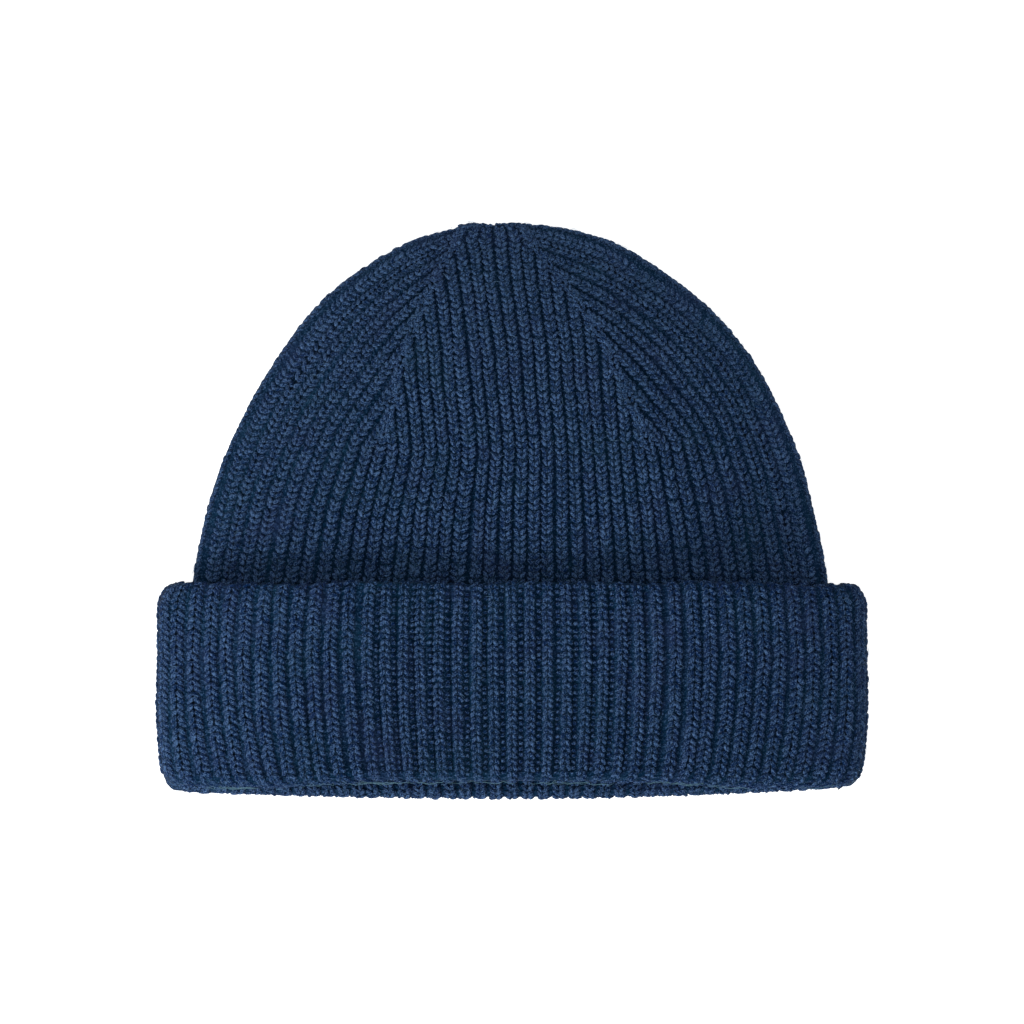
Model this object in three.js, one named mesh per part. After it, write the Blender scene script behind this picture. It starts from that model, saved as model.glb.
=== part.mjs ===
// A short beanie in rib-knit wool, with a turned-up cuff, lying on its back as it would on a table.
// X runs across the hat, Y from the hem to the top of the crown, Z up from the surface. Millimetres.
// "along" is the distance from the lowest point of the hem towards the top of the crown.
// The origin lies under the middle of the hat, on the surface.
import * as THREE from "three";
import { mergeVertices } from "three/addons/utils/BufferGeometryUtils.js";

// Driving sizes
const LENGTH = 186;
const CUFF_TOP = 71;
const CUFF_HEIGHT = 36;
const CROWN_HEIGHT = 28;
const WALL = 2.7;
const GAP = 0.4;

// The fabric: 1x1 rib, knitted in four sections that are divided by the darts
const SECTIONS = 4;
const RIBS_PER_SECTION = 21;
const RIB_DEPTH = 1.2;

// The side folds: how tight they are, and how far in from them the hat is still swelling
const CUFF_FOLD = 6.5;
const SEAT = WALL + GAP;
const CROWN_FOLD = CUFF_FOLD - SEAT;
const SWELL_REACH = 80;
const SWELL_POWER = 2.2;

// Half the width of the crown, from its rim inside the hem to the top, as the hat lies
const crownOutline = [
  { along: 3, half: 106.4 }, { along: 7, half: 108 }, { along: 15, half: 108.6 }, { along: 40, half: 106.6 },
  { along: 71, half: 102.4 }, { along: 90, half: 98.8 }, { along: 110, half: 93.2 }, { along: 129, half: 84.6 },
  { along: 142, half: 77 }, { along: 155, half: 67.3 }, { along: 165.5, half: 56.2 }, { along: 173, half: 45.5 },
  { along: 179.3, half: 34.7 }, { along: 182.8, half: 24.5 }, { along: 185.2, half: 12.5 }, { along: 186, half: 0 },
];

// Half the width of the cuff at a distance up from the hem's edge, and how far the ribs draw in from there
const cuffOutline = [
  { along: 0, half: 108.4, draw: 0.036 }, { along: 0.9, half: 110.6, draw: 0.036 },
  { along: 3.2, half: 112.4, draw: 0.034 }, { along: 6.5, half: 113.6, draw: 0.032 },
  { along: 16, half: 114.7, draw: 0.024 }, { along: 28, half: 115.2, draw: 0.013 },
  { along: 46, half: 114.8, draw: 0 }, { along: 64, half: 114.8, draw: 0.013 },
  { along: 69.5, half: 114.2, draw: 0.018 }, { along: 71, half: 113, draw: 0.018 },
];

// The cuff's section from the foot under the crown's rim, round the hem, up the outside and down the inside.
// "up" is the distance from the hem's edge, "depth" the distance in from the outer face; a groove between
// two ribs is moved by the last two. Rows that say plain have no ribs.
const cuffSection = [
  { up: 2.9, depth: 5.8, plain: true },
  { up: 0.9, depth: 5, grooveUp: 0.7, grooveDepth: -0.3 },
  { up: 0, depth: 2.9, grooveUp: 1.1, grooveDepth: 0 },
  { up: 0.9, depth: 0.9, grooveUp: 0.8, grooveDepth: 0.8 },
  { up: 3.2, depth: 0, grooveUp: 0, grooveDepth: RIB_DEPTH },
  { up: 17, depth: 0, grooveUp: 0, grooveDepth: RIB_DEPTH },
  { up: 34, depth: 0, grooveUp: 0, grooveDepth: RIB_DEPTH },
  { up: 52, depth: 0, grooveUp: 0, grooveDepth: RIB_DEPTH },
  { up: 66, depth: 0, grooveUp: 0, grooveDepth: RIB_DEPTH },
  { up: 69.8, depth: 0.2, grooveUp: -0.2, grooveDepth: 0.9 },
  { up: 71, depth: 1.2, grooveUp: -0.5, grooveDepth: 0.2 },
  { up: 70.4, depth: 2.4, plain: true },
  { up: 67, depth: WALL, plain: true },
  { up: 36, depth: WALL, plain: true },
  { up: 2.9, depth: WALL, plain: true },
];

// Where the front section meets its neighbours. From the fourth row up these are the darts,
// and "ribs" says how many ribs of the section are left on each side of its middle.
const darts = [
  { along: 3, left: -55.4, right: 55.4, ribs: 10.5 }, { along: 71, left: -50, right: 50.6, ribs: 10.5 },
  { along: 92, left: -47, right: 48.6, ribs: 10.5 }, { along: 112, left: -42.6, right: 45.1, ribs: 10.5 },
  { along: 124, left: -39.9, right: 39.7, ribs: 9.5 }, { along: 137, left: -37.6, right: 34.1, ribs: 8.5 },
  { along: 148, left: -34.3, right: 29.4, ribs: 7.5 }, { along: 156.5, left: -30.7, right: 24.2, ribs: 6.5 },
  { along: 164, left: -26.9, right: 19.3, ribs: 5.5 }, { along: 170.5, left: -23.7, right: 14.8, ribs: 4.5 },
  { along: 176.5, left: -20.4, right: 9.7, ribs: 3.5 }, { along: 181, left: -17.9, right: 6, ribs: 2.5 },
];
const FIRST_DART = 112;
const LAST_DART = 181;

// The crown's rim sits this far up from the hem's edge, and its rows follow that edge up to here
const RIM = 3.3;
const HEM_REACH = 40;

// How high the crown's front lies, inside the cuff and above it
const crownTop = [
  { along: 3, height: CUFF_HEIGHT - SEAT }, { along: 25, height: CUFF_HEIGHT - SEAT },
  { along: CUFF_TOP, height: CROWN_HEIGHT }, { along: LENGTH, height: CROWN_HEIGHT },
];

// Value of a table's column at a place along the hat
function lookUp(table, column, along) {
  const last = table.length - 1;
  if (along <= table[0].along) return table[0][column];
  if (along >= table[last].along) return table[last][column];
  const next = table.findIndex((row) => row.along > along);
  const below = table[next - 1];
  const share = (along - below.along) / (table[next].along - below.along);
  return THREE.MathUtils.lerp(below[column], table[next][column], share);
}

const smooth = THREE.MathUtils.smoothstep;

// The crown's outline as a smooth curve, for distances to it
const outlineCurve = new THREE.SplineCurve(crownOutline.map((row) => new THREE.Vector2(row.half, row.along)));
const outlinePoints = outlineCurve.getPoints(400);

function nearestOnOutline(x, along) {
  const here = new THREE.Vector2(Math.abs(x), along);
  let best = outlinePoints[0];
  for (const point of outlinePoints) {
    if (point.distanceTo(here) < best.distanceTo(here)) best = point;
  }
  return { x: Math.sign(x) * best.x, along: best.y, distance: best.distanceTo(here) };
}

// Share of the full height that the cloth has reached at a distance in from the side fold
function swell(distance) {
  const left = 1 - Math.min(Math.max(distance / SWELL_REACH, 0), 1);
  return 1 - left ** SWELL_POWER;
}

// The round of a side fold: how far the cloth has turned up or down from the fold's middle
function foldRise(radius, distance) {
  const across = radius - Math.min(distance, radius);
  return Math.sqrt(radius ** 2 - across ** 2);
}

// Distance in from the fold for a share of the way along the cloth from the fold's edge
function foldDistance(radius, reach, share) {
  if (reach <= radius) return radius * (1 - Math.cos(share * Math.acos(1 - reach / radius)));
  const quarter = (Math.PI / 2) * radius;
  const travelled = share * (quarter + reach - radius);
  if (travelled > quarter) return radius + travelled - quarter;
  return radius * (1 - Math.cos(travelled / radius));
}

const place = (x, along, z) => new THREE.Vector3(x, along - LENGTH / 2, z);

// The crown's place: low down it follows the edge of the hem
function crownPlace(x, along, z, side) {
  const follow = 1 - smooth(along, RIM, HEM_REACH);
  return place(x, along + hemAlong(x, side) * follow, z);
}

// The crown's back lies on the cuff's back layer, and comes down to the surface beyond it
const backLift = (along) => SEAT * (1 - smooth(along, CUFF_TOP, CUFF_TOP + 24));

// Height of the crown's cloth at a place; side is 1 on the front and -1 on the back
function crownHeight(along, distance, side, inset) {
  const lift = backLift(along);
  const rise = foldRise(CROWN_FOLD - inset, distance - inset);
  if (side < 0) return lift + CROWN_FOLD - rise;
  const top = lookUp(crownTop, "height", along);
  return lift + CROWN_FOLD + rise + (top - lift - 2 * CROWN_FOLD) * swell(distance);
}

// One row of the crown: the two side folds and the four places where sections meet
function crownRow(along, inset) {
  const ribs = lookUp(darts, "ribs", along);
  const ends = ["left", "right"].map((name) => {
    const x = lookUp(darts, name, along);
    const foot = nearestOnOutline(x, along);
    const lean = smooth(along, CUFF_TOP, FIRST_DART);
    const edgeAlong = THREE.MathUtils.lerp(along, foot.along, lean);
    const edge = new THREE.Vector2(edgeX(edgeAlong) * Math.sign(foot.x), edgeAlong);
    const dart = new THREE.Vector2(x, along);
    const reach = edge.distanceTo(dart);
    return { edge, dart, reach };
  });
  return { along, inset, ribs, left: ends[0], right: ends[1] };
}

function edgeX(along) {
  const next = outlinePoints.findIndex((point) => point.y > along);
  return next < 0 ? 0 : outlinePoints[Math.max(next, 0)].x;
}

function dartPoint(row, end, side) {
  const { dart, reach } = row[end];
  return crownPlace(dart.x, dart.y, crownHeight(dart.y, reach, side, row.inset), side);
}

// A point of the crown; u counts ribs from the middle of its section
function crownPoint(row, section, u, depth) {
  const inset = row.inset + depth;
  const ended = Math.abs(u) >= row.ribs;
  const share = Math.min(Math.abs(u) / row.ribs, 1);
  if (section === "front" || section === "back") {
    const side = section === "front" ? 1 : -1;
    const towards = u * side > 0 ? "right" : "left";
    if (ended) return dartPoint(row, towards, side);
    const x = THREE.MathUtils.lerp(row.left.dart.x, row.right.dart.x, (1 + (u * side) / row.ribs) / 2);
    const distance = nearestOnOutline(x, row.along).distance;
    return crownPlace(x, row.along, crownHeight(row.along, distance, side, inset), side);
  }
  const side = (section === "right") === u < 0 ? 1 : -1;
  if (ended) return dartPoint(row, section, side);
  const { edge, dart, reach } = row[section];
  const distance = inset + foldDistance(CROWN_FOLD - inset, reach - inset, share);
  const spot = edge.clone().lerp(dart, distance / reach);
  return crownPlace(spot.x, spot.y, crownHeight(spot.y, distance, side, inset), side);
}

// How far along the hem's edge lies: nearly straight on the front, and bowed down below it on the back
function hemAlong(x, side) {
  const out = Math.abs(x);
  if (side > 0) return 5.7 - 1.9 * smooth(out, 45, 80);
  return 3.8 * Math.min(out / 108, 1) ** 1.8;
}

// A loop of points round the crown, with "steps" points to a rib; ribs stand out at the half counts
function crownLoop(along, inset, steps, ribDepth) {
  const row = crownRow(along, inset);
  const loop = [];
  for (const section of ["front", "right", "back", "left"]) {
    for (let step = 0; step < RIBS_PER_SECTION * steps; step++) {
      const u = step / steps - RIBS_PER_SECTION / 2;
      const isGroove = steps > 1 && step % steps !== 0;
      loop.push(crownPoint(row, section, u, isGroove ? ribDepth : 0));
    }
  }
  return loop;
}

// A loop drawn together towards the pole of the crown
function gathered(loop, pole, share, rise) {
  return loop.map((point) => {
    const spot = point.clone().lerp(pole, share);
    spot.y = THREE.MathUtils.lerp(point.y, pole.y, rise);
    return spot;
  });
}

// Triangles between two loops that have as many points, or of which one has twice as many
function stitch(triangles, lower, upper) {
  const steps = Math.max(lower.length, upper.length);
  const pick = (loop, index) => loop[Math.floor((index * loop.length) / steps) % loop.length];
  for (let index = 0; index < steps; index++) {
    const corners = [pick(lower, index), pick(lower, index + 1), pick(upper, index + 1), pick(upper, index)];
    addTriangle(triangles, corners[0], corners[1], corners[2]);
    addTriangle(triangles, corners[0], corners[2], corners[3]);
  }
}

// Columns that have ended on a dart leave triangles with no area, which are dropped
function addTriangle(triangles, a, b, c) {
  if (a.equals(b) || b.equals(c) || c.equals(a)) return;
  triangles.push(a, b, c);
}

// A closed mesh from loops that follow one another over the surface
function meshFromLoops(name, loops, material, isRing) {
  const triangles = [];
  for (let index = 1; index < loops.length; index++) stitch(triangles, loops[index - 1], loops[index]);
  if (isRing) stitch(triangles, loops[loops.length - 1], loops[0]);
  const geometry = mergeVertices(new THREE.BufferGeometry().setFromPoints(triangles), 1e-4);
  geometry.computeVertexNormals();
  const mesh = new THREE.Mesh(geometry, material);
  mesh.name = name;
  return mesh;
}

const wool = new THREE.MeshStandardMaterial({ color: 0x1f3a60, roughness: 0.95, metalness: 0 });

// Crown: the body of the hat, from its rim inside the hem fold to the gathered top, and back down inside
function makeCrown() {
  const hiddenRows = [RIM, 14, 40, 66];
  const openRows = [69, 80, 92, 102, 112, 124, 137, 148, 156.5, 164, 170.5, 176.5, LAST_DART];
  const outside = [
    ...hiddenRows.map((along) => crownLoop(along, 0, 1, 0)),
    ...openRows.map((along) => crownLoop(along, 0, 2, RIB_DEPTH)),
  ];
  const lastLoop = outside[outside.length - 1];
  const pole = place(-6, LENGTH, 5);
  outside.push(gathered(lastLoop, pole, 0.35, 0.75), gathered(lastLoop, pole, 0.75, 0.98));
  outside.push(lastLoop.map(() => pole));

  const insideRows = [164, 148, 130, 112, 71, 40, 14, RIM];
  const inside = insideRows.map((along) => crownLoop(along, WALL, 1, 0));
  const innerPole = place(-5.5, LENGTH - 6, 5);
  inside.unshift(inside[0].map(() => innerPole));
  return meshFromLoops("crown", [...outside, ...inside], wool, true);
}

// A point of the cuff; u counts ribs round from the middle of the front, with the side folds at 21.
// In the middle of the back the hat's weight has pressed the ribs flat.
function cuffPoint(u, row, isGroove) {
  const ribsToFold = RIBS_PER_SECTION;
  const side = Math.abs(u) <= ribsToFold ? 1 : -1;
  const share = Math.abs(ribsToFold - Math.abs(u)) / ribsToFold;
  const pressed = side < 0 ? smooth(share, 0.6, 0.8) : 0;
  const up = row.up + (isGroove ? row.grooveUp : 0);
  const depth = row.depth + (isGroove ? row.grooveDepth * (1 - pressed) : 0);
  const half = lookUp(cuffOutline, "half", up);
  const distance = depth + foldDistance(CUFF_FOLD - depth, half - depth, share);
  const draw = lookUp(cuffOutline, "draw", up) * smooth(share, 0, 0.25);
  const x = Math.sign(u) * (half - distance) * (1 - draw);
  const hem = hemAlong(x, side);
  const rise = foldRise(CUFF_FOLD - depth, distance - depth);
  const bulge = (CUFF_HEIGHT - 2 * CUFF_FOLD) * swell(distance);
  const z = side > 0 ? CUFF_FOLD + rise + bulge : CUFF_FOLD - rise;
  return place(x, hem + up * (1 - hem / CUFF_TOP), z);
}

// A loop of points round the cuff; ribs stand out at the whole counts
function cuffLoop(row) {
  const steps = row.plain ? 1 : 2;
  const loop = [];
  for (let step = 0; step < SECTIONS * RIBS_PER_SECTION * steps; step++) {
    const u = step / steps - 2 * RIBS_PER_SECTION;
    loop.push(cuffPoint(u, row, step % steps !== 0));
  }
  return loop;
}

// Cuff: the band that is turned up outside the crown, with the rounded hem that holds the crown's rim
const makeCuff = () => meshFromLoops("cuff", cuffSection.map(cuffLoop), wool, true);

const beanie = new THREE.Group();
beanie.add(makeCrown(), makeCuff());
export default beanie;
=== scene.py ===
import math

import bmesh
import bpy
import numpy as np
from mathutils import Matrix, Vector


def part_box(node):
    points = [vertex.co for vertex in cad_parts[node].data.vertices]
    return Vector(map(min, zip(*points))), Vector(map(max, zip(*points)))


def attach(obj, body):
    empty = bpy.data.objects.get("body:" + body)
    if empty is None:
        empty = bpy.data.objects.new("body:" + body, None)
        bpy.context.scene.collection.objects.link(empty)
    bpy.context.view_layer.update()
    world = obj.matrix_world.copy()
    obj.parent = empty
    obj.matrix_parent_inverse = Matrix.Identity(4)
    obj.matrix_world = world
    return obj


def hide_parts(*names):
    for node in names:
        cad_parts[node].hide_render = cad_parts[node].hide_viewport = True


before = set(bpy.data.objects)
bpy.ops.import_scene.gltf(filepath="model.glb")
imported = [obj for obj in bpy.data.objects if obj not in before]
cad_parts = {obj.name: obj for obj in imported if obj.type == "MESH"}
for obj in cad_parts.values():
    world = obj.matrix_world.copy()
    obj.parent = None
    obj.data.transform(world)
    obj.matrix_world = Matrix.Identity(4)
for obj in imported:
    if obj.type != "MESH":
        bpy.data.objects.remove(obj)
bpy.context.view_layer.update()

# The hat lies on its back on a pale surface and is seen from straight above, through a long lens.
# Its middle is the middle of the picture, whose width is measured at the height of the hat's edge,
# and its hem is at the bottom. Shapes are in millimetres until they are made a mesh.
MM = 0.001
PICTURE_WIDTH = 330.8 * MM
EDGE_HEIGHT = 8 * MM
CAMERA_HEIGHT = 2.4
SENSOR_WIDTH = 36

scene = bpy.context.scene
scene.view_settings.view_transform = "Standard"
camera = bpy.data.objects.new("camera", bpy.data.cameras.new("camera"))
scene.collection.objects.link(camera)
camera.location = (0, 0, CAMERA_HEIGHT)
camera.data.sensor_width = SENSOR_WIDTH
camera.data.lens = SENSOR_WIDTH * (CAMERA_HEIGHT - EDGE_HEIGHT) / PICTURE_WIDTH
camera.data.clip_end = 20
scene.camera = camera

# Crown cloth: the body of the hat is one tube of knitted wool in four sections, which four darts narrow
# towards the gathered top. This is the ground of the rib: the purl columns that lie back in the grooves
# and show on the inside. The front has relaxed into a low swell, and the back lies on the surface.
SECTIONS = ("front", "right", "back", "left")
RIBS_PER_SECTION = 21
LAST_RIB = RIBS_PER_SECTION / 2
WALL = 2.7
CUFF_TOP = 71
FIRST_DART = 112
LAST_DART = 181

# The crown's rim sits in the hem, at the seat's depth in from the cuff's outer face. Its rows follow the
# hem's edge up to the hem's reach, and above the cuff the crown settles on the surface.
SEAT = 3.1
RIM = 3.3
HEM_REACH = 40
SETTLING = 24

# The side folds: how tight they are, and how far in from them the hat is still swelling
CUFF_FOLD = 6.5
CROWN_FOLD = CUFF_FOLD - SEAT
SWELL_REACH = 80
SWELL_POWER = 2.2

cuff_low, cuff_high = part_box("cuff")
crown_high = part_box("crown")[1]
LENGTH = (crown_high.y - cuff_low.y) / MM
CUFF_HEIGHT = cuff_high.z / MM
CROWN_HEIGHT = 28

# Half the width of the crown at each distance along the hat from the lowest point of its hem
crown_outline = {
    "along": (3, 7, 15, 40, 71, 90, 110, 129, 142, 155, 165.5, 173, 179.3, 182.8, 185.2, 186),
    "half": (106.4, 108, 108.6, 106.6, 102.4, 98.8, 93.2, 84.6, 77, 67.3, 56.2, 45.5, 34.7, 24.5, 12.5, 0),
}
OUTLINE_STEPS = 60
# Where the front section meets its neighbours, and the ribs that are left on each side of its middle
darts = {
    "along": (3, 71, 92, 112, 124, 137, 148, 156.5, 164, 170.5, 176.5, 181),
    "left": (-55.4, -50, -47, -42.6, -39.9, -37.6, -34.3, -30.7, -26.9, -23.7, -20.4, -17.9),
    "right": (55.4, 50.6, 48.6, 45.1, 39.7, 34.1, 29.4, 24.2, 19.3, 14.8, 9.7, 6),
    "ribs": (10.5, 10.5, 10.5, 10.5, 9.5, 8.5, 7.5, 6.5, 5.5, 4.5, 3.5, 2.5),
}
# How far the crown has slipped to the right as it lies
crown_sway = {
    "along": (CUFF_TOP, 95, 118, 143, 158, 168, LENGTH),
    "across": (-0.6, -0.6, 0.2, 0.8, 0.2, -0.4, 0),
}
# How high the crown's front lies, inside the cuff and above it
crown_top = {
    "along": (3, 25, CUFF_TOP, LENGTH),
    "height": (CUFF_HEIGHT - SEAT, CUFF_HEIGHT - SEAT, CROWN_HEIGHT, CROWN_HEIGHT),
}


def look_up(table, column, along):
    return np.interp(along, table["along"], table[column])


def smooth(value, low, high):
    share = np.clip((value - low) / (high - low), 0, 1)
    return share * share * (3 - 2 * share)


def through(points, steps):
    """A smooth curve through points, as a line of many short steps."""
    points = np.array(points, float)
    padded = np.vstack([points[:1], points, points[-1:]])
    share = np.linspace(0, 1, steps, endpoint=False)[:, None]
    runs = []
    for before, start, end, after in zip(padded, padded[1:], padded[2:], padded[3:]):
        leaving = (end - before) / 2
        arriving = (after - start) / 2
        bend = 3 * (end - start) - 2 * leaving - arriving
        twist = 2 * (start - end) + leaving + arriving
        runs.append(start + leaving * share + bend * share**2 + twist * share**3)
    return np.vstack(runs + [points[-1:]])


outline = through(np.column_stack([crown_outline["half"], crown_outline["along"]]), OUTLINE_STEPS)
outline_run = np.gradient(outline, axis=0)
outline_run /= np.linalg.norm(outline_run, axis=1)[:, None]


def nearest_outline(x, along):
    """Indices of the outline's points that lie nearest to places on the right half of the hat."""
    found = []
    for across, up in zip(np.abs(x), along):
        found.append(((outline[:, 0] - across) ** 2 + (outline[:, 1] - up) ** 2).argmin())
    return np.array(found)


def outline_distance(x, along):
    x, along = np.broadcast_arrays(x, along)
    near = nearest_outline(x, along)
    across = np.abs(x) - outline[near, 0]
    up = along - outline[near, 1]
    return np.abs(across * outline_run[near, 1] - up * outline_run[near, 0])


def swell(distance):
    """Share of the full height that the cloth has reached at a distance in from the side fold."""
    return 1 - (1 - np.clip(distance / SWELL_REACH, 0, 1)) ** SWELL_POWER


def fold_rise(radius, distance):
    """How far the cloth has turned up or down from the middle of a side fold."""
    across = radius - np.clip(distance, 0, radius)
    return np.sqrt(np.maximum(radius**2 - across**2, 0))


def fold_distance(radius, reach, share):
    """Distance in from the fold for a share of the way along the cloth from the fold's edge."""
    quarter = math.pi / 2 * radius
    travelled = share * (quarter + reach - radius)
    turned = radius * (1 - np.cos(np.minimum(travelled, quarter) / radius))
    tight = radius * (1 - np.cos(share * np.arccos(np.clip(1 - reach / radius, -1, 1))))
    open_cloth = np.where(travelled > quarter, radius + travelled - quarter, turned)
    return np.where(reach <= radius, tight, open_cloth)


# The hem's edge is nearly straight on the front, and drops a little towards the sides, between two
# distances out from the middle. On the back it bows down from its corners to the hat's lowest point.
FRONT_HEM = 6.4
FRONT_DROP = 2
DROP_REACH = (45, 80)
LEFT_CORNER = 2.4
RIGHT_CORNER = 3.8
CORNER_ACROSS = 108
BOW_POWER = 1.8


def hem_along(x, side):
    """How far along the hem's edge lies; side is 1 on the front of the hat and -1 on its back."""
    out = np.abs(x)
    front = FRONT_HEM - FRONT_DROP * smooth(out, *DROP_REACH)
    corner = np.where(x < 0, LEFT_CORNER, RIGHT_CORNER)
    return np.where(side > 0, front, corner * np.minimum(out / CORNER_ACROSS, 1) ** BOW_POWER)


def place(x, along, z):
    return np.column_stack(np.broadcast_arrays(x, along - LENGTH / 2, z))


def crown_place(x, along, z, side):
    follow = 1 - smooth(along, RIM, HEM_REACH)
    sway = look_up(crown_sway, "across", along)
    return place(x + sway, along + hem_along(x, side) * follow, z)


def crown_height(along, distance, side, depth):
    """How high a depth of the crown's cloth lies, at a distance in from the side fold."""
    lift = SEAT * (1 - smooth(along, CUFF_TOP, CUFF_TOP + SETTLING))
    rise = fold_rise(CROWN_FOLD - depth, distance - depth)
    top = look_up(crown_top, "height", along)
    front = lift + CROWN_FOLD + rise + (top - lift - 2 * CROWN_FOLD) * swell(distance)
    return np.where(side > 0, front, lift + CROWN_FOLD - rise)


# Each row across a side section runs from its edge, at the side fold, to the dart that faces it
SIDE_ROWS = 300
rows = {"along": np.linspace(RIM, LAST_DART, SIDE_ROWS)}
for hand, name in ((-1, "left"), (1, "right")):
    dart_x = look_up(darts, name, rows["along"])
    foot = outline[nearest_outline(dart_x, rows["along"]), 1]
    edge = rows["along"] + (foot - rows["along"]) * smooth(rows["along"], CUFF_TOP, FIRST_DART)
    rows[name + " edge along"] = edge
    rows[name + " edge x"] = hand * np.interp(edge, outline[:, 1], outline[:, 0])


# The cloth has been folded along one groove of the front, which still stands a little open. The ribs
# beside it are pushed aside, and higher up it closes between two distances along.
CREASE_RIB = -3
CREASE_SPREAD = 0.75
CREASE_RIBS_MOVED = 1.5
CREASE_CLOSES = (130, 160)

# How deep the ridges and grooves of the ground lie. On a side fold the cloth is stretched: its ribs stand
# out by the fill, its ridges come up to the fold's own depth, and its grooves are shallow. This fades
# between two numbers of ribs from the fold.
RIDGE_DEPTH = 0.9
GROOVE_DEPTH = 2.1
FOLD_FILL = 0.7
FOLD_RIDGE = 0.45
FOLD_FLATTENING = 0.9
STRETCH_FADES = (0.6, 1.6)


def stretch(ribs_away):
    """Share of the side fold's stretch that is left some ribs away from it."""
    return 1 - smooth(ribs_away, *STRETCH_FADES)


def flattened(depth, on_fold):
    ridge = (1 - FOLD_RIDGE / RIDGE_DEPTH) * np.clip(depth, 0, RIDGE_DEPTH)
    groove = FOLD_FLATTENING * np.clip(depth - RIDGE_DEPTH, 0, GROOVE_DEPTH - RIDGE_DEPTH)
    return depth - on_fold * (ridge + groove)


def crown_points(section, u, along, depth):
    """Places on the crown; u counts ribs from the middle of a section, and stops at its darts."""
    u, along, depth = (np.array(values, float) for values in np.broadcast_arrays(u, along, depth))
    share = np.clip(u / look_up(darts, "ribs", along), -1, 1)
    if section in ("front", "back"):
        side = 1 if section == "front" else -1
        left = look_up(darts, "left", along)
        right = look_up(darts, "right", along)
        x = left + (right - left) * (1 + share * side) / 2
        if section == "front":
            off_crease = u - CREASE_RIB
            spread = CREASE_SPREAD * (1 - smooth(along, *CREASE_CLOSES))
            x += spread * np.sign(off_crease) * np.exp(-np.abs(off_crease) / CREASE_RIBS_MOVED)
        return crown_place(x, along, crown_height(along, outline_distance(x, along), side, depth), side)
    side = np.where((section == "right") == (share < 0), 1, -1)
    edge_x = look_up(rows, section + " edge x", along)
    edge_along = look_up(rows, section + " edge along", along)
    across = look_up(darts, section, along) - edge_x
    up = along - edge_along
    reach = np.hypot(across, up)
    on_fold = stretch(np.abs(u))
    depth = flattened(depth, on_fold) - FOLD_FILL * on_fold
    distance = depth + fold_distance(CROWN_FOLD - depth, reach - depth, np.abs(share))
    x = edge_x + across * distance / reach
    spot = edge_along + up * distance / reach
    return crown_place(x, spot, crown_height(spot, distance, side, depth), side)


# Above the last dart the ribs are drawn together over the gather's length of cloth, into a short slit at
# the top, which is a share of their width. The stitches meet at one pole, the ground stops a little short
# of it, and the inside has a pole of its own.
GATHER = 14
SLIT = 0.4
POLE_SHORT = 0.7
crown_pole = np.array([-6, LENGTH / 2 + 0.5, 5])
inner_pole = np.array([-5.5, LENGTH / 2 - 6, 5])


def crown_surface(section, u, run, depth):
    """Places on the crown by the distance run up its cloth, which goes on past the last dart to the top."""
    points = crown_points(section, u, np.minimum(run, LAST_DART), depth)
    drawn = np.clip((np.asarray(run, float) - LAST_DART) / GATHER, 0, 1) * np.ones(len(points))
    pull = np.column_stack([drawn * (1 - SLIT), 1 - (1 - drawn) ** 3, drawn])
    short = POLE_SHORT * np.minimum(depth, 1) * np.ones(len(points))
    pole = crown_pole - np.outer(short, (0, 1, 0))
    return points + (pole - points) * pull


def new_piece(name, mesh, finish):
    """Makes a mesh a piece of the hat, with its finish."""
    mesh.shade_smooth()
    mesh.materials.append(finish)
    piece = bpy.data.objects.new(name, mesh)
    scene.collection.objects.link(piece)
    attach(piece, "root")
    return piece


# The ground has this many columns to a rib, and these distances from row to row and between two stitches
RIB_STEPS = 4
CROWN_ROW = 3.2
COURSE = 2.0


def cloth_piece(name, loops, finish):
    """A closed tube of cloth from loops of points, of which the last meets the first. Its UV map counts
    ribs across the cloth and millimetres along it."""
    loops = np.array(loops + loops[:1])
    loops = np.concatenate([loops, loops[:, :1]], axis=1)
    columns = loops.shape[1]
    shell = bmesh.new()
    bmesh.ops.create_grid(shell, x_segments=columns - 1, y_segments=len(loops) - 1, size=0.5)
    middle = loops[:, columns // 4]
    travel = np.concatenate([[0], np.cumsum(np.linalg.norm(np.diff(middle, axis=0), axis=1))])
    weave = shell.loops.layers.uv.new("cloth")
    for face in shell.faces:
        for corner in face.loops:
            row, column = divmod(corner.vert.index, columns)
            corner[weave].uv = (column / RIB_STEPS, travel[row])
    for vert, point in zip(shell.verts, loops.reshape(-1, 3) * MM):
        vert.co = point
    bmesh.ops.remove_doubles(shell, verts=shell.verts, dist=0.01 * MM)
    bmesh.ops.recalc_face_normals(shell, faces=shell.faces)
    mesh = bpy.data.meshes.new(name)
    shell.to_mesh(mesh)
    shell.free()
    return new_piece(name, mesh, finish)


class Value:
    """A number, colour or vector of a finish; expressions on it add the nodes that work them out."""

    def __init__(self, finish, socket):
        self.finish = finish
        self.socket = socket

    def __add__(self, other):
        return self.finish.maths("ADD", self, other)

    def __radd__(self, other):
        return self.finish.maths("ADD", other, self)

    def __sub__(self, other):
        return self.finish.maths("SUBTRACT", self, other)

    def __rsub__(self, other):
        return self.finish.maths("SUBTRACT", other, self)

    def __mul__(self, other):
        return self.finish.maths("MULTIPLY", self, other)

    def __rmul__(self, other):
        return self.finish.maths("MULTIPLY", other, self)

    def __pow__(self, other):
        return self.finish.maths("POWER", self, other)

    def __rpow__(self, other):
        return self.finish.maths("POWER", other, self)


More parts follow.
